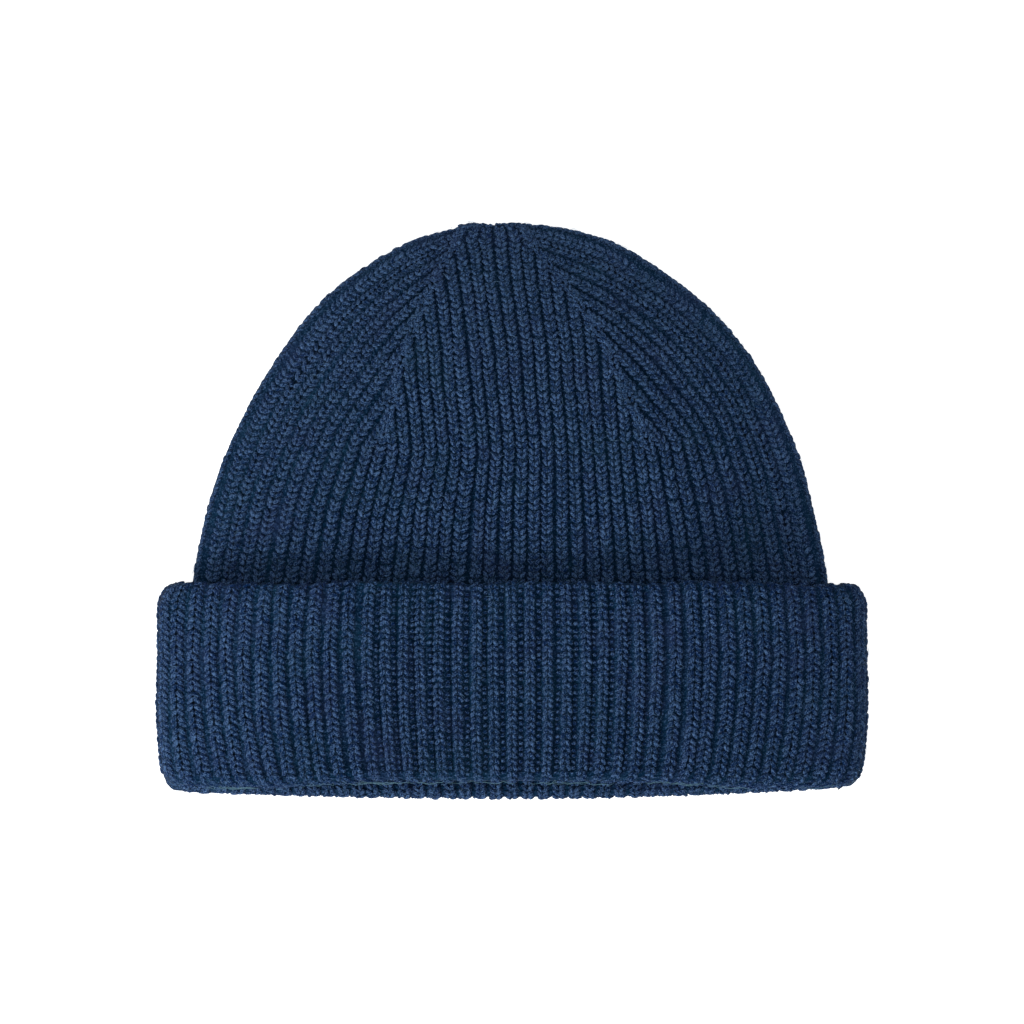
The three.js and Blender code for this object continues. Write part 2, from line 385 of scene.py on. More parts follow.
class Finish:
    """A material whose nodes are all added by one method."""

    def __init__(self, name):
        self.material = bpy.data.materials.new(name)
        self.material.use_nodes = True
        self.tree = self.material.node_tree
        self.tree.nodes.clear()

    def node(self, kind, settings, sockets, output=0):
        """Adds a node, makes its settings and then fills its sockets; gives back one of its outputs."""
        node = self.tree.nodes.new(kind)
        for name, setting in settings.items():
            setattr(node, name, setting)
        for name, value in sockets.items():
            if isinstance(value, Value):
                self.tree.links.new(value.socket, node.inputs[name])
            else:
                node.inputs[name].default_value = value
        return Value(self, node.outputs[output]) if node.outputs else None

    def maths(self, operation, first, second=0):
        return self.node("ShaderNodeMath", {"operation": operation}, {0: first, 1: second})

    def mix(self, share, first, second):
        """A colour between two; sockets 6 and 7 of the node hold them, and its output 2 is the result."""
        sockets = {0: share, 6: first, 7: second}
        return self.node("ShaderNodeMix", {"data_type": "RGBA"}, sockets, 2)

    def rising(self, value, start, end, full):
        """0 up to the start and full from the end on, which may lie below the start."""
        sockets = {"Value": value, "From Min": start, "From Max": end, "To Max": full}
        return self.node("ShaderNodeMapRange", {}, sockets)

    def noise(self, place, size, detail):
        """Noise with grains of a size in millimetres."""
        sockets = {"Vector": place, "Scale": 1 / (size * MM), "Detail": detail, "Roughness": 0.6}
        return self.node("ShaderNodeTexNoise", {}, sockets)


# The wool's colour runs from deep to pale navy with its tone, and the curve keeps the darker tones deep.
# Painted light makes it palest this far up from the middle of the hat. It leans to the two tints where the
# patches' noise passes from one value to another.
# A darker navy, painted shade, that the purl ground's colour runs down to in the grooves
GROOVE_SHADE_NAVY = (0, 0.01, 0.029, 1)
DEEP_NAVY = (0, 0.012, 0.052, 1)
PALE_NAVY = (0.059, 0.118, 0.24, 1)
VIOLET_TINT = (0.024, 0.034, 0.1, 1)
TEAL_TINT = (0.01, 0.045, 0.075, 1)
TONE_CURVE = 1.5
PAINTED_LIGHT_FULL_UP = 90 * MM
TOP_PAINTED_LIGHT = 0.16
PATCH_SIZE = 14
VIOLET_NOISE = (0.52, 0.78)
VIOLET_SHARE = 0.35
TEAL_NOISE = (0.48, 0.22)
TEAL_SHARE = 0.3
WOOL_ROUGHNESS = 0.92
RELIEF_HEIGHT = 0.35 * MM


def wool_colour(finish, where, tone, deep=DEEP_NAVY):
    """Navy wool, dyed unevenly: strands differ in tone and patches lean to violet or to teal. It is also
    made a little paler towards the top, which is painted light."""
    patches = finish.noise(where, PATCH_SIZE, 3)
    up_hat = finish.node("ShaderNodeSeparateXYZ", {}, {"Vector": where}, "Y")
    # Painted light: the tone rises up the hat, towards the top.
    paler = finish.rising(up_hat, 0, PAINTED_LIGHT_FULL_UP, TOP_PAINTED_LIGHT)
    base = finish.mix((tone + paler) ** TONE_CURVE, deep, PALE_NAVY)
    violet = finish.rising(patches, *VIOLET_NOISE, VIOLET_SHARE)
    teal = finish.rising(patches, *TEAL_NOISE, TEAL_SHARE)
    return finish.mix(teal, finish.mix(violet, base, VIOLET_TINT), TEAL_TINT)


def wool_surface(finish, colour, height, strength):
    sockets = {"Height": height, "Distance": RELIEF_HEIGHT, "Strength": strength}
    relief = finish.node("ShaderNodeBump", {}, sockets)
    sockets = {"Base Color": colour, "Roughness": WOOL_ROUGHNESS, "Normal": relief}
    sockets.update({"Sheen Weight": 0.02, "Sheen Roughness": 0.5, "Specular IOR Level": 0.04})
    wool = finish.node("ShaderNodeBsdfPrincipled", {}, sockets)
    finish.node("ShaderNodeOutputMaterial", {}, {"Surface": wool})
    return finish.material


# The purl side's tone, which is set low partly as painted shade on ground that lies behind the stitches,
# how much its grain, its rows of loops and the painted shade of its grooves change it, how far the rows bow
# in the grooves, and how high they stand beside the grain
GRAIN_SIZE = 0.5
PURL_TONE = 0.34
PURL_GRAIN = 2.4
PURL_ROWS = 0.08
PURL_GROOVE_SHADE = 0.8
PURL_BOW = 7
PURL_RELIEF = 0.5
PURL_STRENGTH = 0.8


def purl_finish():
    """The purl side of the rib: rows of round bumps, bowed from rib to rib, in the grooves and inside.
    Painted shade darkens it towards each groove's middle.
    """
    finish = Finish("purl_wool")
    where = finish.node("ShaderNodeTexCoord", {}, {}, "Object")
    cloth = finish.node("ShaderNodeUVMap", {"uv_map": "cloth"}, {})
    across = finish.node("ShaderNodeSeparateXYZ", {}, {"Vector": cloth}, "X")
    along = finish.node("ShaderNodeSeparateXYZ", {}, {"Vector": cloth}, "Y")
    groove = finish.maths("PINGPONG", across, 0.5)
    loops = finish.maths("SINE", along * (math.tau / COURSE) + groove * PURL_BOW)
    grain = finish.noise(where, GRAIN_SIZE, 1)
    # Painted shade: the tone falls towards each groove's middle, and its level is set low for ground that
    # lies in shade.
    tone = (grain - 0.5) * PURL_GRAIN + loops * PURL_ROWS - groove * PURL_GROOVE_SHADE + PURL_TONE
    colour = wool_colour(finish, where, tone, GROOVE_SHADE_NAVY)
    return wool_surface(finish, colour, loops * PURL_RELIEF + grain, PURL_STRENGTH)


# A rib is broad and its grooves are narrow, and the inside's ridges stand behind the outside's grooves.
# Above its top row the inside closes in a few steps, given as shares of the way to its pole.
RIB_BREADTH = 2.5
INNER_RIDGE = 0.4
INNER_TOP = 164
INNER_STEPS = (1, 0.8, 0.55, 0.3)
purl_wool = purl_finish()


def rib_dip(counts):
    """Share of the way down into a groove: 0 on a rib, at a whole count, and 1 half way to the next."""
    return np.abs(2 * (counts - np.round(counts))) ** RIB_BREADTH


def crown_loop(run, ridge, groove, surface):
    """A loop round the crown, whose ribs stand out at the half counts."""
    counts = np.arange(RIBS_PER_SECTION * RIB_STEPS) / RIB_STEPS - LAST_RIB
    depth = ridge + (groove - ridge) * rib_dip(counts + 0.5)
    return np.vstack([surface(section, counts, run, depth) for section in SECTIONS])


outer_runs = [*np.arange(RIM, LAST_DART + GATHER - 1, CROWN_ROW), LAST_DART + GATHER]
outside = [crown_loop(run, RIDGE_DEPTH, GROOVE_DEPTH, crown_surface) for run in outer_runs]
outside.append(np.repeat(crown_pole[None] - (0, GROOVE_DEPTH, 0), len(outside[0]), 0))
inner_runs = np.arange(INNER_TOP, RIM, -CROWN_ROW)
inside = [crown_loop(run, WALL - INNER_RIDGE, WALL + INNER_RIDGE, crown_points) for run in inner_runs]
closing = [inside[0] + (inner_pole - inside[0]) * share for share in INNER_STEPS]
crown_ground = cloth_piece("crown_ground", outside + closing + inside, purl_wool)
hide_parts("crown")

# Cuff cloth: the same knit, turned up round the outside of the hat so that its other face shows. It folds
# at the hem, where it takes in the crown's rim, and its free edge at the top is soft and rounded. The
# middle of the cuff is stretched, so its ribs lie wider apart there than at the sides.
HEM_RADIUS = 2.9
HEM_FULLNESS = 1.6
HEM_LEG = 14
HEM_RIDGE = 0.45
HEM_GROOVE = 0.9
MIDDLE_STRETCH = 0.04

# The free edge waves slightly and sags towards the sides, between two distances out from the middle, and
# the rows above the edge's reach follow it. Its corners are rounded over a reach in from the side folds.
EDGE_REACH = 50
EDGE_SAG = 0.8
SAG_REACH = (50, 100)
edge_waves = {"height": (0.3, 0.2), "length": (9, 4.3), "start": (0, 1)}
corner_cut = {"along": (64, 67, 69, 70.2, 71), "across": (0, 0.8, 1.9, 3, 4.4)}
CORNER_REACH = 14


def free_edge(x, up):
    """How far the free edge's waves and sag move a place on the cuff along the hat."""
    wave = sum(height * np.sin(x / length + start) for height, length, start in zip(*edge_waves.values()))
    return (wave - EDGE_SAG * smooth(np.abs(x), *SAG_REACH)) * smooth(up, EDGE_REACH, CUFF_TOP)


# Half the width of the cuff at a distance up from the hem's edge, and the share by which its ribs are drawn
# in there, which starts at the side folds and is full from a share of the way to the middle on
cuff_outline = {
    "along": (0, 0.9, 3.2, 6.5, 16, 28, 46, 64, 69.5, 71),
    "half": (108.4, 110.6, 112.4, 113.6, 114.7, 115.2, 114.8, 114.8, 114.2, 113),
    "draw": (0.036, 0.036, 0.034, 0.032, 0.024, 0.013, 0, 0.013, 0.018, 0.018),
}
DRAWN_FROM = 0.25

# Cloth that lies deeper than the side fold's radius turns with the least radius, and has its full depth
# only some way in from the fold
LEAST_RADIUS = 0.05
FULL_DEPTH_REACH = 12


def cuff_points(u, up, depth):
    """Places on the cuff; u counts ribs round from the middle of the front, with the side folds at 21."""
    u, up, depth = (np.array(values, float) for values in np.broadcast_arrays(u, up, depth))
    side = np.where(np.abs(u) <= RIBS_PER_SECTION, 1, -1)
    share = np.abs(RIBS_PER_SECTION - np.abs(u)) / RIBS_PER_SECTION
    depth = flattened(depth, stretch(share * RIBS_PER_SECTION))
    share = 1 - (1 - share) * (1 + MIDDLE_STRETCH * (1 - (1 - share) ** 2))
    half = look_up(cuff_outline, "half", up)
    radius = np.maximum(CUFF_FOLD - depth, LEAST_RADIUS)
    distance = depth + fold_distance(radius, half - depth, share)
    draw = look_up(cuff_outline, "draw", up) * smooth(share, 0, DRAWN_FROM)
    corner = look_up(corner_cut, "across", up) * (1 - smooth(distance, 0, CORNER_REACH))
    x = np.sign(u) * ((half - distance) * (1 - draw) - corner)
    hem = hem_along(x, side)
    past_fold = np.maximum(depth - CUFF_FOLD, 0) * smooth(distance - depth, 0, FULL_DEPTH_REACH)
    rise = fold_rise(radius, distance - depth) - past_fold
    bulge = (CUFF_HEIGHT - 2 * CUFF_FOLD) * swell(distance)
    z = np.where(side > 0, CUFF_FOLD + rise + bulge, CUFF_FOLD - rise)
    return place(x, hem + up * (1 - hem / CUFF_TOP) + free_edge(x, up), z)


def hem_turn(angle, radius):
    """Distances up and in from the outer face on the hem's fold, which is fuller over the crown's rim."""
    radius += HEM_FULLNESS * smooth(angle, math.pi / 2, math.pi)
    return HEM_RADIUS - radius * math.sin(angle), HEM_RADIUS - radius * math.cos(angle)


def cuff_loop(ridge_up, ridge_depth, groove_up, groove_depth):
    """A loop round the cuff through a place of its section on the ribs and one in the grooves."""
    counts = np.arange(4 * RIBS_PER_SECTION * RIB_STEPS) / RIB_STEPS - 2 * RIBS_PER_SECTION
    dip = rib_dip(counts)
    up = ridge_up + (groove_up - ridge_up) * dip
    return cuff_points(counts, up, ridge_depth + (groove_depth - ridge_depth) * dip)


# The ground's section, after its outer face: over the free edge, down behind it, and up and back over the
# leg inside the hem
inner_section = {
    "ridge up": (68.7, 69.7, 70.3, 70.5, 70.1, 67, 36, 5, 3, 3, HEM_LEG - 1, HEM_LEG, HEM_LEG - 1, 4.5),
    "ridge depth": (0.9, 1, 1.3, 1.8, 2.4, WALL, WALL, WALL, 3, 6.3, 6.3, 6.4, 6.5, 6.5),
    "groove up": (68.7, 69.5, 70.1, 70.3, 70, 67, 36, 5, 3, 3, HEM_LEG - 1, HEM_LEG, HEM_LEG - 1, 4.5),
    "groove depth": (1.7, 1.5, 1.6, 1.9, 2.4, WALL, WALL, WALL, 3, 6.3, 6.3, 6.4, 6.45, 6.4),
}
cuff_loops = []
for up in np.linspace(HEM_RADIUS + 2, CUFF_TOP - 4, 20):
    cuff_loops.append(cuff_loop(up, RIDGE_DEPTH, up, GROOVE_DEPTH))
for row in zip(*inner_section.values()):
    cuff_loops.append(cuff_loop(*row))
for angle in np.linspace(math.pi, 0, 9):
    ridge = hem_turn(angle, HEM_RADIUS - HEM_RIDGE)
    groove = hem_turn(angle, HEM_RADIUS - HEM_GROOVE)
    cuff_loops.append(cuff_loop(*ridge, *groove))
cuff_ground = cloth_piece("cuff_ground", cuff_loops, purl_wool)
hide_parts("cuff")

# Knit stitches: each column of the rib is a chain of V-shaped loops of soft three-ply yarn. A loop's two
# legs rise from one point, lean apart and sink under the next loop, so every one stands a little proud at
# its foot. Stitches are drawn for a rib of the pitch's width and are fitted to the ribs where they lie.
CROWN_PITCH = 4.7
CUFF_PITCH = 5.64
YARN_FLATNESS = 0.7
BLUNTNESS = 0.2
BALL_END = 1.03
LEAN_POWER = 1.25

# Painted shade: how much darker the yarn is made for each millimetre of depth, and towards the sides of its
# rib
CROWN_SHADE = (0.05, 0.1)
SLOPE_SHADE = (0.05, 0.2)
CUFF_SHADE = (0.05, 0.15)


class Strand:
    """A short plump length of yarn as arrays, ready to be repeated along a column; made from a ball."""

    def __init__(self, sides, rings, shape, depth_shade=0, side_shade=0):
        ball = bmesh.new()
        bmesh.ops.create_uvsphere(ball, u_segments=sides, v_segments=rings, radius=1)
        self.points = np.array([shape(*vert.co) for vert in ball.verts])
        # Painted shade: the tone falls where the yarn lies deeper and towards its rib's sides.
        self.shade = depth_shade * (self.points[:, 2] - self.points[:, 2].max())
        self.shade -= side_shade * (self.points[:, 0] / self.points[:, 0].max()) ** 2
        self.leg = np.zeros(len(self.points), int)
        faces = [[corner.vert for corner in face.loops] for face in ball.faces]
        self.corners = np.array([vert.index for face in faces for vert in face])
        self.starts = np.cumsum([0] + [len(face) for face in faces])[:-1]
        self.yarn = np.array([place for face in faces for place in self.wound(face)])
        ball.free()

    def wound(self, face):
        """Where the corners of a face lie round the yarn and along it, with no seam inside the face."""
        middle = sum((vert.co for vert in face), Vector()) / len(face)
        facing = math.atan2(middle.y, middle.x)
        places = []
        for vert in face:
            at_end = math.hypot(vert.co.x, vert.co.y) < 0.01
            turn = 0 if at_end else math.atan2(vert.co.y, vert.co.x) - facing
            turn = (turn + math.pi) % math.tau - math.pi
            places.append(((facing + turn) / math.tau, (vert.co.z + 1) / 2))
        return places

    def mirrored(self):
        """Adds the same strand on the other side of the column, to make the two legs of a knit stitch."""
        ends = np.append(self.starts[1:], len(self.corners))
        order = np.concatenate([np.arange(end - 1, start - 1, -1) for start, end in zip(self.starts, ends)])
        count = len(self.points)
        self.starts = np.concatenate([self.starts, self.starts + len(self.corners)])
        self.corners = np.concatenate([self.corners, self.corners[order] + count])
        self.yarn = np.concatenate([self.yarn, self.yarn[order] * (-1, 1)])
        self.points = np.vstack([self.points, self.points * (-1, 1, 1)])
        self.shade = np.tile(self.shade, 2)
        self.leg = np.repeat([0, 1], count)
        return self


def leg_shape(foot, tip, crest, thickness):
    """Draws a ball out from a foot to a tip, each given as millimetres across, along and out of the cloth;
    between them the yarn rises to a crest and then leans outwards. Both ends are blunter than a ball's."""
    lean = math.atan2(tip[0] - foot[0], tip[1] - foot[1])

    def shape(x, y, z):
        share = (z + 1) / 2
        radius = thickness / 2 * (BALL_END - z * z) ** -BLUNTNESS
        across, along, height = (start + (end - start) * share for start, end in zip(foot, tip))
        across += (tip[0] - foot[0]) * (share**LEAN_POWER - share) + x * radius * math.cos(lean)
        along -= x * radius * math.sin(lean)
        return across, along, height + crest * math.sin(share * math.pi) + y * radius * YARN_FLATNESS

    return shape


def joined_piece(name, template, points, tones, finish):
    """One mesh of many copies of a template; points has a row of vertices for each copy."""
    copies = len(points)
    shift = np.arange(copies)[:, None]
    corners = (template.corners + shift * points.shape[1]).ravel()
    starts = (template.starts + shift * len(template.corners)).ravel()
    mesh = bpy.data.meshes.new(name)
    mesh.vertices.add(points.shape[0] * points.shape[1])
    mesh.vertices.foreach_set("co", (points * MM).ravel())
    mesh.loops.add(len(corners))
    mesh.loops.foreach_set("vertex_index", corners)
    mesh.polygons.add(len(starts))
    mesh.polygons.foreach_set("loop_start", starts)
    mesh.update(calc_edges=True)
    yarn = mesh.uv_layers.new(name="yarn")
    yarn.uv.foreach_set("vector", np.tile(template.yarn, (copies, 1)).ravel())
    tone = mesh.attributes.new("tone", "FLOAT", "POINT")
    tone.data.foreach_set("value", tones.ravel())
    return new_piece(name, mesh, finish)


def unit(vectors):
    return vectors / (np.linalg.norm(vectors, axis=-1)[..., None] + 1e-9)


class Column:
    """The line that one column of stitches follows, with the direction across it and out of the cloth."""

    def __init__(self, points, across, outward_sign, stitch_points=None, shade=0):
        self.stitch_points = stitch_points
        self.shade = shade
        travel = np.linalg.norm(np.diff(points, axis=0), axis=1)
        self.travel = np.concatenate([[0], np.cumsum(travel)])
        self.points = points
        along = unit(np.gradient(points, axis=0))
        self.across = across - along * (across * along).sum(1)[:, None]
        self.out = unit(np.cross(self.across, along) * outward_sign)

    def at(self, values, travel):
        return np.stack([np.interp(travel, self.travel, values[:, axis]) for axis in range(3)], -1)

    def lay(self, template_points, places, bend, pitch):
        """The template's points at each place along the line, fitted to the width of the ribs there."""
        travel = places[:, None] + template_points[None, :, 1]
        across = (template_points[None, :, 0] + bend[:, None])[..., None] / pitch
        out = template_points[None, :, 2, None]
        beyond = (travel - np.clip(travel, 0, self.travel[-1]))[..., None]
        ahead = unit(self.points[-1] - self.points[-2])
        spot = self.at(self.points, travel) + beyond * ahead
        return spot + self.at(self.across, travel) * across + self.at(self.out, travel) * out


# The yarn's tone, and how unevenly it was knitted: stitches differ in tone and in their distance from the
# next, legs are pushed aside, and whole columns are shifted by up to a share of a row and wander
YARN_TONE = 0.605
TONE_SPREAD = 0.12
LEG_DRIFT = 0.13
ROW_SHIFT = 0.3
WANDER = 0.22
WANDER_STEP = 22
FIRST_STITCH = 0.5
UNEVENNESS = 0.09
CROWN_UNEVENNESS = 0.16
PURL_UNEVENNESS = 0.2

# No yarn dips into the surface that the hat lies on
LOWEST = 0.02

# The plies turn this often along a stitch, and the streaks run along them. How strongly these, the tufts
# and the fibres change the yarn's tone and relief.
YARN_PLIES = 3
PLY_TURNS = 1.5
STREAK_TURNS = 2
STREAK_CHANGES = 1.5
STREAK_SEED = 40
TUFT_SIZE = 1.3
FIBRE_SIZE = 0.45
STREAK_TONE = 2.8
TUFT_TONE = 0.4
FIBRE_TONE = 4
PLY_RELIEF = 0.2
STREAK_RELIEF = 1.6
FIBRE_RELIEF = 3


def yarn_finish():
    """Soft woollen yarn: plies wound round each other, with streaks and short fibres that blur them."""
    finish = Finish("knit_wool")
    where = finish.node("ShaderNodeTexCoord", {}, {}, "Object")
    yarn = finish.node("ShaderNodeUVMap", {"uv_map": "yarn"}, {})
    around = finish.node("ShaderNodeSeparateXYZ", {}, {"Vector": yarn}, "X")
    along = finish.node("ShaderNodeSeparateXYZ", {}, {"Vector": yarn}, "Y")
    tone = finish.node("ShaderNodeAttribute", {"attribute_name": "tone"}, {}, "Fac")
    plies = finish.maths("SINE", (around * YARN_PLIES + along * PLY_TURNS) * math.tau)
    winding = {"X": around * (2 * YARN_PLIES) + along * STREAK_TURNS}
    winding.update({"Y": along * STREAK_CHANGES, "Z": tone * STREAK_SEED})
    wound = finish.node("ShaderNodeCombineXYZ", {}, winding)
    streaks = finish.node("ShaderNodeTexNoise", {}, {"Vector": wound, "Scale": 1, "Detail": 1})
    tufts = finish.noise(where, TUFT_SIZE, 1)
    fibres = finish.noise(where, FIBRE_SIZE, 1)
    streaked = tone + (streaks - 0.5) * STREAK_TONE
    shown = streaked + (tufts - 0.5) * TUFT_TONE + (fibres - 0.5) * FIBRE_TONE
    height = plies * PLY_RELIEF + streaks * STREAK_RELIEF + fibres * FIBRE_RELIEF
    return wool_surface(finish, wool_colour(finish, where, shown), height, 1)


knit_wool = yarn_finish()
draw_lots = np.random.default_rng(7)


def knit(name, template, columns, pitch, unevenness, shading=None):
    """A piece's stitches, one to each row along each of its columns, no two of them quite alike."""
    laid = []
    shades = []
    for column in columns:
        count = int(column.travel[-1] / COURSE + FIRST_STITCH)
        places = COURSE * (np.arange(count) + FIRST_STITCH + draw_lots.uniform(-ROW_SHIFT, ROW_SHIFT))
        places += draw_lots.normal(0, unevenness, count)
        shades.append(column.shade + (shading(places) if shading else np.zeros(count)))
        knots = np.arange(0, column.travel[-1] + WANDER_STEP, WANDER_STEP)
        bend = np.interp(places, knots, draw_lots.normal(0, WANDER, len(knots)))
        stitch_points = template.points if column.stitch_points is None else column.stitch_points
        laid.append(column.lay(stitch_points, places, bend, pitch))
    points = np.concatenate(laid)
    count = len(points)
    # The tones carry the strands' painted shade, and the columns' and places' painted shade is taken off
    # them.
    tones = draw_lots.normal(YARN_TONE, TONE_SPREAD, (count, 2))[:, template.leg] + template.shade
    tones -= np.concatenate(shades)[:, None]
    drift = draw_lots.normal(0, LEG_DRIFT, (count, 2, 3))
    points = points + drift[:, template.leg]
    points[..., 2] = np.maximum(points[..., 2], LOWEST)
    return joined_piece(name, template, points, tones, knit_wool)


# A leg that the front shows is made from a ball with more sides and rings than one on the back
FINE_BALL = (6, 5)
PLAIN_BALL = (5, 4)
crown_leg = leg_shape(foot=(0.25, -1.25, -0.42), tip=(1.95, 0.9, -0.7), crest=0.06, thickness=1.5)
slope_leg = leg_shape(foot=(0.25, -1.25, -0.38), tip=(1.85, 0.9, -0.75), crest=0.06, thickness=1.45)
front_stitch = Strand(*FINE_BALL, crown_leg, *CROWN_SHADE).mirrored()
slope_stitch = Strand(*FINE_BALL, slope_leg, *SLOPE_SHADE).mirrored()
back_stitch = Strand(*PLAIN_BALL, crown_leg, *CROWN_SHADE).mirrored()
crown_stitches = {"front": front_stitch, "right": slope_stitch, "back": back_stitch, "left": slope_stitch}

# The crown's columns start behind the cuff, and one that a dart takes in ends under the dart's own rib
HIDDEN_START = 60
PATH_STEP = 0.5
UNDER_DART = 0.2


def crown_column(section, u):
    """A rib of the crown, from behind the cuff to where it ends under a dart's rib or at the top."""
    runs = np.arange(HIDDEN_START, LAST_DART + 1, PATH_STEP)
    showing = look_up(darts, "ribs", runs) > abs(u) - UNDER_DART
    runs = np.arange(HIDDEN_START, LAST_DART + GATHER, PATH_STEP) if showing[-1] else runs[showing]
    centre = crown_surface(section, u, runs, 0)
    inward = -0.5 if u > 0 else 0.5
    across = (crown_surface(section, u + inward, runs, 0) - centre) / inward
    return Column(centre, across, 1)


section_counts = np.arange(RIBS_PER_SECTION - 1) - (RIBS_PER_SECTION - 2) / 2
crown_columns = {}
for section in SECTIONS:
    columns = [crown_column(section, u) for u in section_counts]
    piece = knit("crown_" + section, crown_stitches[section], columns, CROWN_PITCH, CROWN_UNEVENNESS)
    crown_columns[section] = columns


# Dart ribs: at each of the four decreases one smooth rib runs up between two sections, and the ribs
# beside it are taken in under it one after another.
def dart_column(before, after):
    runs = np.arange(HIDDEN_START, LAST_DART + GATHER, PATH_STEP)
    ribs = look_up(darts, "ribs", np.minimum(runs, LAST_DART))
    centre = crown_surface(before, ribs, runs, 0)
    across = crown_surface(after, -ribs + 0.5, runs, 0) - crown_surface(before, ribs - 0.5, runs, 0)
    return Column(centre, across, 1)


dart_columns = [dart_column(before, after) for before, after in zip(SECTIONS, SECTIONS[1:] + SECTIONS[:1])]
dart_ribs = knit("dart_ribs", front_stitch, dart_columns, CROWN_PITCH, UNEVENNESS)

# Cuff stitches: the cloth's other face, so the points of the stitches look up towards the free edge. In
# the middle of the front the cloth is pulled open and shows the purl columns between the knit ones, with
# one round bump to each row. Towards the sides it has relaxed, and they have closed up and sunk.
OPEN_RIBS = 6
CLOSED_RIBS = 11
CLOSED_DEPTH = 1.6

# A column's places run from the free edge down the face, round the fold of the hem and up inside it
FACE_STEPS = 60
turning = np.linspace(0, math.pi, 15)[1:]
cuff_path = [(CUFF_TOP - 0.1, 1.6), (CUFF_TOP - 0.2, 0.9), (CUFF_TOP - 0.7, 0.3)]
cuff_path += [(up, 0) for up in np.linspace(CUFF_TOP - 1.5, HEM_RADIUS, FACE_STEPS)]
cuff_path += [hem_turn(angle, HEM_RADIUS) for angle in turning]
cuff_path += [(up, 2 * HEM_RADIUS + HEM_FULLNESS) for up in np.linspace(HEM_RADIUS, HEM_LEG, 12)[1:]]

# Painted shade: how much darker the wool is made at the free edge and on the fold of the hem, towards the
# sides, where the closed-up ribs lie in each other's shade, on the right, away from the lamp, and in the
# purl columns deep in the grooves; and where along a column the first two darken and clear
EDGE_SHADE = 0.32
EDGE_CLEARS = (1, 8)
FOLD_SHADE = 0.25
FOLD_DARKENS = (62, 71)
FOLD_CLEARS = (72, 76)
SIDE_SHADE = 0.1
RIGHT_SHADE = 0.06
PURL_SHADE = 0.25


def closing_up(u):
    return smooth(abs(u), OPEN_RIBS, CLOSED_RIBS)


def hem_shade(places):
    """How much painted shade darkens the wool at distances from the free edge along a column."""
    edge = EDGE_SHADE * (1 - smooth(places, *EDGE_CLEARS))
    return edge + FOLD_SHADE * smooth(places, *FOLD_DARKENS) * (1 - smooth(places, *FOLD_CLEARS))


def cuff_column(u, path, stitch_points=None, shade=0):
    ups, depths = np.array(path).T
    across = (cuff_points(u + 0.25, ups, depths) - cuff_points(u - 0.25, ups, depths)) * 2
    return Column(cuff_points(u, ups, depths), across, -1, stitch_points, shade)


front_counts = np.arange(1.0 - RIBS_PER_SECTION, RIBS_PER_SECTION)
left_back = np.arange(1.0 - 2 * RIBS_PER_SECTION, -RIBS_PER_SECTION)
right_back = np.arange(1.0 + RIBS_PER_SECTION, 1 + 2 * RIBS_PER_SECTION)
fold_counts = (-RIBS_PER_SECTION, RIBS_PER_SECTION)
open_leg = leg_shape(foot=(0.35, -1.25, -0.5), tip=(1.5, 0.85, -0.7), crest=0.12, thickness=1.45)
closed_leg = leg_shape(foot=(0.28, -1.45, -0.42), tip=(2.15, 0.95, -0.7), crest=0.05, thickness=1.72)
open_stitch = Strand(*FINE_BALL, open_leg, *CUFF_SHADE).mirrored()
closed_stitch = Strand(*FINE_BALL, closed_leg, *CUFF_SHADE).mirrored()
back_cuff_stitch = Strand(*PLAIN_BALL, closed_leg, *CUFF_SHADE).mirrored()
back_columns = [cuff_column(u, cuff_path) for u in (*left_back, *right_back, *fold_counts)]
front_columns = []
for u in front_counts:
    stitch_points = open_stitch.points + (closed_stitch.points - open_stitch.points) * closing_up(u)
    # Painted shade: the closed-up columns towards the sides, and those on the right, are coloured darker.
    shade = SIDE_SHADE * closing_up(u) + RIGHT_SHADE * smooth(u, 0, RIBS_PER_SECTION)
    front_columns.append(cuff_column(u, cuff_path, stitch_points, shade))
cuff_front = knit("cuff_front", open_stitch, front_columns, CUFF_PITCH, UNEVENNESS, hem_shade)
cuff_back = knit("cuff_back", back_cuff_stitch, back_columns, CUFF_PITCH, UNEVENNESS, hem_shade)


# A purl bump's half sizes across, along and out of the cloth, and the depth of its middle. The purl
# columns end half way round the fold of the hem.
BUMP_ACROSS = 0.95
BUMP_ALONG = 0.8
BUMP_OUT = 0.6
BUMP_DEPTH = 1.35


def purl_shape(x, y, z):
    return z * BUMP_ACROSS, y * BUMP_ALONG, x * BUMP_OUT - BUMP_DEPTH


purl_bump = Strand(5, 3, purl_shape)
purl_columns = []
for u in np.arange(0.5 - CLOSED_RIBS, CLOSED_RIBS):
    sunk = CLOSED_DEPTH * closing_up(u)
    purl_path = [(up, sunk) for up in np.linspace(CUFF_TOP - 1.2, HEM_RADIUS, FACE_STEPS)]
    purl_path += [hem_turn(angle, HEM_RADIUS - sunk) for angle in turning[: len(turning) // 2]]
    # Painted shade: the purl bumps, deep in the grooves, are coloured darker.
    purl_columns.append(cuff_column(u, purl_path, None, PURL_SHADE))
cuff_purls = knit("cuff_purls", purl_bump, purl_columns, CUFF_PITCH, PURL_UNEVENNESS)

# Hem fibres: along the fold of the front a few ends of yarn have worked out of the knit and lie along it,
# with a pale colour that is painted highlight, of fine fibres catching the light. Each follows a waving
# line on the stitches, at about the same turn of the fold, and runs a fraction of a rib from knot to knot.
HEM_STRANDS = 34
STRAND_STARTS = (-20.3, 18.5)
STRAND_RINGS = 14
STRAND_RADIUS = 0.085
STRAND_STAND = 0.2
STRAND_KNOTS = 15
STRAND_STEPS = (0.08, 0.2)
STRAND_TURN = 72
TURN_SCATTER = 5
STRAND_WAVE = 0.3
WAVE_TURN = 0.3
STRAND_TONE = 0.75
STRAND_TONE_SPREAD = 0.25
DULL_TEAL = (0.02, 0.05, 0.08, 1)
HIGHLIGHT_TEAL = (0.1, 0.19, 0.24, 1)


